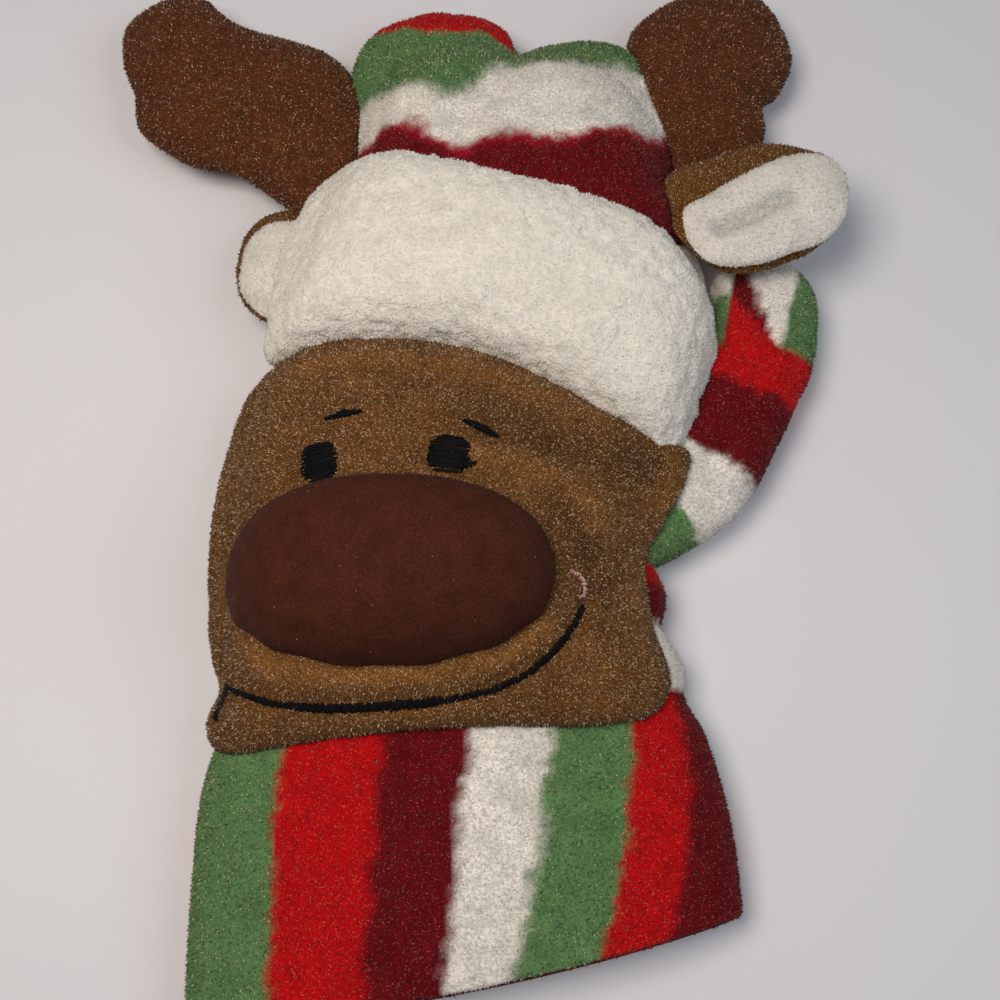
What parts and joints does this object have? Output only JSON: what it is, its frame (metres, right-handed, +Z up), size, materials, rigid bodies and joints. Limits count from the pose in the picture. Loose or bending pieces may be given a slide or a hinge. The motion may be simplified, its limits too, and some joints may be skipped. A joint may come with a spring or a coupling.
{
  "type": "plush mitten",
  "caption": "Hollow plush mitten with an animal face in a striped hat on its back, a thumb and an open cuff.",
  "frame": {"origin": "middle of the whole mitten in plan, at the height of the table it lies on", "axes": "+Y from the cuff to the fingertips, +X to the thumb side, +Z up through the back of the hand"},
  "size_m": [0.207, 0.2904, 0.0615],
  "materials": {
    "striped_fleece": "matte",
    "tan_plush": "matte",
    "nose_velour": "matte",
    "cream_plush": "matte",
    "antler_plush": "matte",
    "thread": "satin"
  },
  "bodies": {
    "root": {"mitten_shell": "striped_fleece", "thumb": "striped_fleece", "face": "tan_plush", "nose": "nose_velour", "brim": "cream_plush", "crown": "striped_fleece", "antler_left": "antler_plush", "antler_right": "antler_plush", "ear_left_back": "tan_plush", "ear_left_lining": "cream_plush", "ear_right_back": "tan_plush", "ear_right_lining": "cream_plush", "eye_left": "thread", "eye_right": "thread", "brow_left": "thread", "brow_right": "thread", "smile": "thread"}
  },
  "joints": []
}
